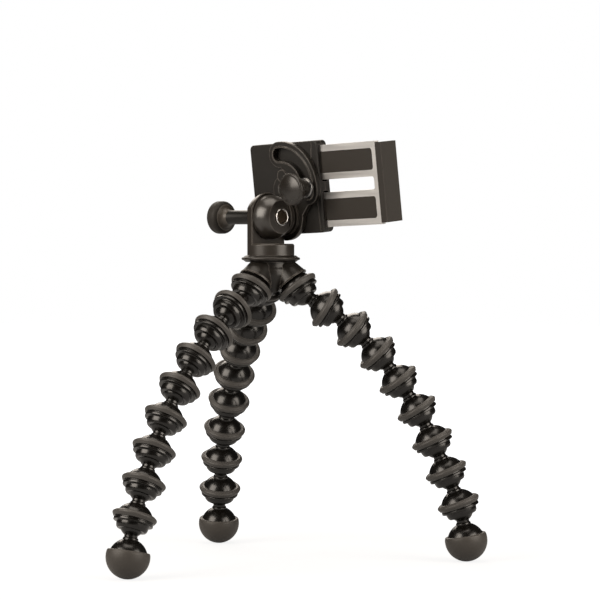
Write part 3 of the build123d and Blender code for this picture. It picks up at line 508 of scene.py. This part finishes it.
def soften(node, width):
    """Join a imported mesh's triangles and round its sharp edges by a width in millimetres."""
    modifiers = frame["nodes"][node].modifiers
    weld = modifiers.new("join", "WELD")
    weld.merge_threshold = WELD_GAP
    flat = modifiers.new("flatten", "DECIMATE")
    flat.decimate_type = "DISSOLVE"
    flat.angle_limit = FLAT_ANGLE
    bevel = modifiers.new("round", "BEVEL")
    bevel.width = width * MM
    bevel.segments = ROUND_SEGMENTS
    bevel.limit_method = "ANGLE"
    bevel.angle_limit = SHARP_EDGE
    modifiers.new("even_normals", "WEIGHTED_NORMAL")


for node_name, edge_width in edge_of_node.items():
    soften(node_name, edge_width)
print("rounded nodes", len(edge_of_node))

# %% [markdown]
# ## Turned pieces
# A leg segment is a solid of revolution: a ball, a thin neck, a dome, the rubber ring and the socket's cup.
# Its outline is drawn once, with arcs for the round stretches, and spun about the leg's axis. All segments
# share that one mesh, and each is set on its own ball, whose centre is the joint's place.

# %% Outlines and spinning
SPIN_STEPS = 96
SHARP_ANGLE = math.radians(32)
SAME_POINT = 0.002
ON_AXIS = 0.001


def arc(centre, radius, start, end, steps):
    """Points on a circle in the outline's plane, (radius, height) pairs, between two angles in degrees."""
    points = []
    for step in range(steps + 1):
        angle = math.radians(start + (end - start) * step / steps)
        points.append((centre[0] + radius * math.cos(angle), centre[1] + radius * math.sin(angle)))
    return points


def arc_to(centre_height, radius, start_height, end_height, steps):
    """Points on a ball about the axis, between two heights."""
    start = math.degrees(math.asin(max(-1, min(1, (start_height - centre_height) / radius))))
    end = math.degrees(math.asin(max(-1, min(1, (end_height - centre_height) / radius))))
    return arc((0, centre_height), radius, start, end, steps)


def spun_mesh(name, stretches):
    """A mesh turned about Z from stretches of (points, finish); a stretch starts where the last ended."""
    finishes = []
    mesh = bpy.data.meshes.new(name)
    build = bmesh.new()
    outline = []
    slots = []
    for points, finish in stretches:
        if finish not in finishes:
            finishes.append(finish)
        for point in points:
            if outline and (Vector(point) - Vector(outline[-1])).length < SAME_POINT:
                continue
            if outline:
                slots.append(finishes.index(finish))
            outline.append(point)
    rings = []
    for radius, height in outline:
        if radius < ON_AXIS:
            rings.append([build.verts.new((0, 0, height * MM))])
            continue
        ring = []
        for step in range(SPIN_STEPS):
            angle = math.tau * step / SPIN_STEPS
            corner = (radius * MM * math.cos(angle), radius * MM * math.sin(angle), height * MM)
            ring.append(build.verts.new(corner))
        rings.append(ring)
    for place, (lower, upper) in enumerate(zip(rings, rings[1:])):
        for step in range(SPIN_STEPS):
            after = (step + 1) % SPIN_STEPS
            if len(lower) == 1:
                corners = (lower[0], upper[after], upper[step])
            elif len(upper) == 1:
                corners = (lower[step], lower[after], upper[0])
            else:
                corners = (lower[step], lower[after], upper[after], upper[step])
            face = build.faces.new(corners)
            face.material_index = slots[place]
            face.smooth = True
    bmesh.ops.recalc_face_normals(build, faces=build.faces)
    build.to_mesh(mesh)
    build.free()
    mesh.set_sharp_from_angle(angle=SHARP_ANGLE)
    for finish in finishes:
        mesh.materials.append(finish)
    return mesh


# %% [markdown]
# ## The leg segment's sizes
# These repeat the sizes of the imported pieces, in millimetres along the leg from the ball's centre. The
# ring stands proud of the dome, and below it a dark groove parts the ring from the socket's lip.

# %% Segment sizes
BALL_R = 7.3
BALL_FLAT = 4.0
WAIST_R = 3.9
COLLAR_R = 4.6
COLLAR_START = 7.3
NECK_END = 8.8
DOME_R = 11.6
DOME_CENTRE = 19.5
RING_TOP = 14.4
RING_END = 18.2
RING_R = 13.3
RING_SHOULDER_R = 11.5
RING_FOOT_R = 12.4
GROOVE_R = 11.3
LIP_START = 18.7
LIP_END = 20.5
LIP_R = 11.8
BARREL_R = 9.7
MOUTH = 24.5
MOUTH_RIM_R = 8.7
SEAT_R = 7.55
PITCH = 21.1
FOOT_R = 13.0
FOOT_CENTRE = 18.7
FOOT_PAD_TOP = 15.3
FOOT_CORE_R = 8.0
SOCKET_TILT = math.radians(38)
SPIGOT_R = 5.0
SPIGOT_START = 6.5
FOOT_CORE_TOP = FOOT_PAD_TOP + 1
FOOT_LIP = 0.9
BALL_STEPS = 20
DOME_STEPS = 12
SEAT_STEPS = 16
PAD_STEPS = 32

# Rounds: radius, first and last angle in degrees, and steps
RING_ROUND = (1.25, -62, 40, 12)
LIP_TOP_ROUND = (0.6, -60, 10, 6)
LIP_FOOT_ROUND = (0.4, 0, 80, 5)
MOUTH_ROUND = (0.5, 10, 90, 6)
PAD_ROUND = (0.75, -90, -20, 6)
RING_ROUND_RISE = 0.1
LIP_ROUND_DROP = 0.7
MOUTH_ROUND_INSET = 0.45

# Eased edges: for each point, how far it lies in from a radius and on from a height
COLLAR_EDGE = ((0.25, 0.45), (0.05, 0.7), (0, 0.95))
NECK_EDGE = ((0, -0.1),)
RING_TOP_EDGE = ((0, 0.1), (-0.25, 0))
RING_FOOT_EDGE = ((-0.25, -0.5), (0, -0.1), (0.3, 0))
LIP_TOP_EDGE = ((0.45, 0.05),)
BARREL_EDGE = ((-0.3, 0), (0, 0.25), (0.05, 0.9), (0.18, 1.8))
MOUTH_EDGE = ((0.5, -0.9),)
PAD_FACE_EDGE = ((1.1, 0),)
PAD_SIDE_DROP = 1.3


def eased(radius, height, edge):
    """Points of an eased edge, set off from a radius and a height."""
    return [(radius - inwards, height + along) for inwards, along in edge]


def ball_stretch():
    """From the crown's flat over the ball and down the neck."""
    waist = math.sqrt(BALL_R**2 - WAIST_R**2)
    collar = [(WAIST_R, COLLAR_START)] + eased(COLLAR_R, COLLAR_START, COLLAR_EDGE)
    collar += eased(COLLAR_R, NECK_END, NECK_EDGE)
    return [(0, -BALL_FLAT)] + arc_to(0, BALL_R, -BALL_FLAT, waist, BALL_STEPS) + collar


def cup_stretches(start):
    """Dome, rubber ring, groove, lip, barrel, mouth and the hollow seat."""
    dome = arc_to(DOME_CENTRE, DOME_R, start, RING_TOP, DOME_STEPS)
    ring_middle = (RING_TOP + RING_END) / 2 - RING_ROUND_RISE
    ring = eased(RING_SHOULDER_R, RING_TOP, RING_TOP_EDGE)
    ring += arc((RING_R - RING_ROUND[0], ring_middle), *RING_ROUND)
    ring += eased(RING_FOOT_R, RING_END, RING_FOOT_EDGE)
    groove = [(GROOVE_R, RING_END), (GROOVE_R, LIP_START)]
    lip = eased(LIP_R, LIP_START, LIP_TOP_EDGE)
    lip += arc((LIP_R - LIP_TOP_ROUND[0], LIP_START + LIP_ROUND_DROP), *LIP_TOP_ROUND)
    lip += arc((LIP_R - LIP_FOOT_ROUND[0], LIP_END - LIP_FOOT_ROUND[0]), *LIP_FOOT_ROUND)
    barrel = eased(BARREL_R, LIP_END, BARREL_EDGE) + eased(BARREL_R, MOUTH, MOUTH_EDGE)
    mouth = arc((MOUTH_RIM_R - MOUTH_ROUND_INSET, MOUTH - MOUTH_ROUND[0]), *MOUTH_ROUND)
    seat = [(math.sqrt(SEAT_R**2 - (MOUTH - PITCH) ** 2), MOUTH)]
    seat += arc_to(PITCH, SEAT_R, MOUTH, PITCH - SEAT_R, SEAT_STEPS)
    return [(dome, ball_plastic), (ring, ring_rubber), (groove + lip + barrel + mouth + seat, ball_plastic)]


DOME_START = DOME_CENTRE - math.sqrt(DOME_R**2 - COLLAR_R**2)
segment_mesh = spun_mesh("leg_segment", [(ball_stretch(), ball_plastic)] + cup_stretches(DOME_START))
spigot_height = DOME_CENTRE - math.sqrt(DOME_R**2 - SPIGOT_R**2)
spigot = [(0, SPIGOT_START), (SPIGOT_R, SPIGOT_START), (SPIGOT_R, spigot_height)]
cup_mesh = spun_mesh("hub_socket", [(spigot, ball_plastic)] + cup_stretches(spigot_height))
stud_mesh = spun_mesh("foot_stud", [
    (ball_stretch() + arc_to(DOME_CENTRE, DOME_R, DOME_START, FOOT_PAD_TOP, DOME_STEPS), ball_plastic),
    ([(FOOT_CORE_R, FOOT_PAD_TOP), (FOOT_CORE_R, FOOT_CORE_TOP), (0, FOOT_CORE_TOP)], ball_plastic),
])
pad_edge_r = math.sqrt(FOOT_R**2 - (FOOT_PAD_TOP + FOOT_LIP - FOOT_CENTRE) ** 2)
pad_outline = [(FOOT_CORE_R, FOOT_CORE_TOP), (FOOT_CORE_R, FOOT_PAD_TOP)]
pad_outline += eased(pad_edge_r, FOOT_PAD_TOP, PAD_FACE_EDGE)
pad_outline += arc((pad_edge_r - FOOT_LIP, FOOT_PAD_TOP + PAD_ROUND[0]), *PAD_ROUND)
pad_outline += arc_to(FOOT_CENTRE, FOOT_R, FOOT_PAD_TOP + PAD_SIDE_DROP, FOOT_CENTRE + FOOT_R, PAD_STEPS)
pad_mesh = spun_mesh("foot_pad", [(pad_outline, foot_rubber)])
print("segment faces", len(segment_mesh.polygons))

# %% [markdown]
# ## Legs
# A leg's joints give its balls' centres in order, so each segment points from its own ball to the next.
# The foot points at the middle of its round pad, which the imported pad's box gives. A foot's meshes are
# written in place, unturned, so that their boxes are exact where the whole tripod's size is measured.

# %% Place the legs
LEG_NAMES = ("a", "b", "c")
SEGMENT_NUMBERS = range(2, 11)


def place_piece(mesh, name, centre, way, body, node):
    """An object of a shared mesh, with its Z along way, riding on a body in a node's place."""
    piece = bpy.data.objects.new(name, mesh)
    bpy.context.scene.collection.objects.link(piece)
    z_axis = way.normalized()
    x_axis = z_axis.cross(UP).normalized()
    y_axis = z_axis.cross(x_axis)
    turn = Matrix((x_axis, y_axis, z_axis)).transposed().to_4x4()
    piece.matrix_world = Matrix.Translation(centre) @ turn
    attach(piece, body)
    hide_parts(node)
    return piece


def settle(piece):
    """Give a piece its own mesh, written in place, and leave the piece unturned."""
    mesh = piece.data.copy()
    mesh.transform(piece.matrix_world)
    piece.data = mesh
    piece.matrix_world = Matrix.Identity(4)


def leg_balls(name):
    """Centres of a leg's balls, from the second segment to the foot."""
    centres = []
    for number in SEGMENT_NUMBERS:
        kind = "fold" if number % 2 == 0 else "sway"
        centres.append(Vector(joints[f"leg_{name}_{kind}_{number}"]["pos_m"]))
    return centres


def build_leg(name):
    """One leg's socket, segments and foot."""
    balls = leg_balls(name)
    flat = balls[0] - pan_point
    flat.z = 0
    outwards = flat.normalized()
    socket_way = outwards * math.sin(SOCKET_TILT) - UP * math.cos(SOCKET_TILT)
    socket = place_piece(cup_mesh, f"socket_{name}", balls[0] - socket_way * PITCH * MM, socket_way, "hub",
                         f"leg_{name}_socket_1")
    for number, (ball, after) in enumerate(zip(balls, balls[1:]), start=2):
        node = f"leg_{name}_segment_{number}"
        segment = place_piece(segment_mesh, f"segment_{name}_{number}", ball, after - ball, node, node)
    low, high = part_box(f"leg_{name}_foot_pad")
    middle = (Vector(low) + Vector(high)) / 2
    middle.z = low[2] + FOOT_R * MM
    body = f"leg_{name}_foot"
    stud = place_piece(stud_mesh, f"foot_stud_{name}", balls[-1], middle - balls[-1], body, f"{body}_stud")
    pad = place_piece(pad_mesh, f"foot_pad_{name}", balls[-1], middle - balls[-1], body, f"{body}_pad")
    for piece in (stud, pad):
        settle(piece)
    return len(balls)


for leg in LEG_NAMES:
    print("leg", leg, "balls", build_leg(leg))

# %% [markdown]
# ## Small pieces on the head
# The bolt through the ball has a bright turned rim round a dark socket, so the rim is a ring of its own.
# The locking rod and its flare are one turned piece; the flare is given a paler grey than the rod, a painted
# light for its slope that faces the lamps. The housing has a low wavy ridge down its near face, in the
# bracket's finish, whose paler edges paint a light line along it. Each of them rides on the body that carries
# it.

# %% Head frames
tilt_point = Vector(joints["head_tilt"]["pos_m"])
pivot_point = Vector(joints["clamp_turn"]["pos_m"])
clamp_near = Vector(joints["clamp_turn"]["axis"]).normalized()
clamp_right = Vector(joints["jaw_slide"]["axis"]).normalized()
clamp_up = clamp_near.cross(clamp_right).normalized()
X_WAY = Vector((1, 0, 0))
BOLT_FACE = 9.7
LINE_ROUNDNESS = 3
LINE_STEPS = 10
LINE_ORDER = 3


def on_clamp(x, z, out):
    """A point on the housing's near face, in millimetres from the pivot screw."""
    return pivot_point + (clamp_right * x + clamp_up * z + clamp_near * out) * MM


def add_piece(mesh, name, centre, way, body):
    """A piece of a spun mesh that replaces nothing, with its Z along way, riding on a body."""
    piece = bpy.data.objects.new(name, mesh)
    bpy.context.scene.collection.objects.link(piece)
    piece.rotation_mode = "QUATERNION"
    piece.rotation_quaternion = way.to_track_quat("Z", "Y")
    piece.location = centre
    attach(piece, body)
    return piece


def ridge(name, points, radius, finish, body):
    """A thin round line near points, riding on a body."""
    data = bpy.data.curves.new(name, "CURVE")
    data.dimensions = "3D"
    data.bevel_depth = radius * MM
    data.bevel_resolution = LINE_ROUNDNESS
    data.resolution_u = LINE_STEPS
    spline = data.splines.new("NURBS")
    spline.points.add(len(points) - 1)
    for place, point in zip(spline.points, points):
        place.co = (*point, 1)
    spline.order_u = LINE_ORDER
    spline.use_endpoint_u = True
    data.materials.append(finish)
    piece = bpy.data.objects.new(name, data)
    bpy.context.scene.collection.objects.link(piece)
    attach(piece, body)
    return piece


# %% Bolt rim
RIM_R = 4.75
RIM_ROUND = (0.5, -60, 240, 14)
rim_outline = arc((RIM_R, 0), *RIM_ROUND)
rim_mesh = spun_mesh("bolt_rim", [(rim_outline, chrome_plate)])
rim = add_piece(rim_mesh, "bolt_rim", tilt_point + X_WAY * BOLT_FACE * MM, X_WAY, "tilt")

# %% Locking rod and flare
ROD_R = 4.35
ROD_START = -8.3
ROD_END = -35.0
FLARE_MIDDLE = (5.63, -37.6)
FLARE_R = 8.2
FLARE_END = -38.9
KNOB_CORE_R = 6.0
KNOB_CORE_END = -41.9
FLARE_STEPS = 8


def curve_through(start, middle, end, steps):
    """Points on a smooth curve that starts at start, passes middle halfway and ends at end."""
    bend = [2 * middle[i] - (start[i] + end[i]) / 2 for i in range(2)]
    points = []
    for step in range(steps + 1):
        share = step / steps
        first, second, third = (1 - share) ** 2, 2 * share * (1 - share), share**2
        points.append(tuple(first * start[i] + second * bend[i] + third * end[i] for i in range(2)))
    return points


rod_mesh = spun_mesh("locking_rod", [
    ([(0, ROD_START), (ROD_R, ROD_START), (ROD_R, ROD_END)], rod_plastic),
    (curve_through((ROD_R, ROD_END), FLARE_MIDDLE, (FLARE_R, FLARE_END), FLARE_STEPS), flare_painted_lit),
    ([(KNOB_CORE_R, FLARE_END), (KNOB_CORE_R, KNOB_CORE_END), (0, KNOB_CORE_END)], rod_plastic),
])
rod = place_piece(rod_mesh, "locking_rod", tilt_point, X_WAY, "tilt_knob", "tilt_knob_rod")
print("rod faces", len(rod_mesh.polygons))

# %% Ridge on the housing
RIDGE_POINTS = (
    (24.4, 27.2), (24.0, 24.0), (22.4, 12.5), (26.0, 2.0), (25.2, -9.7), (25.9, -24.0), (26.0, -26.9),
)
RIDGE_R = 0.5
RIDGE_OUT = -0.28
ridge_line = [on_clamp(x, z, RIDGE_OUT) for x, z in RIDGE_POINTS]
# The ridge takes the bracket's finish, paler at the edges than the case's, so that it shows as a painted light
# line.
near_ridge = ridge("case_ridge", ridge_line, RIDGE_R, bracket_plastic, "clamp")
print("ridge mm", round((ridge_line[-1] - ridge_line[0]).length / MM, 1))
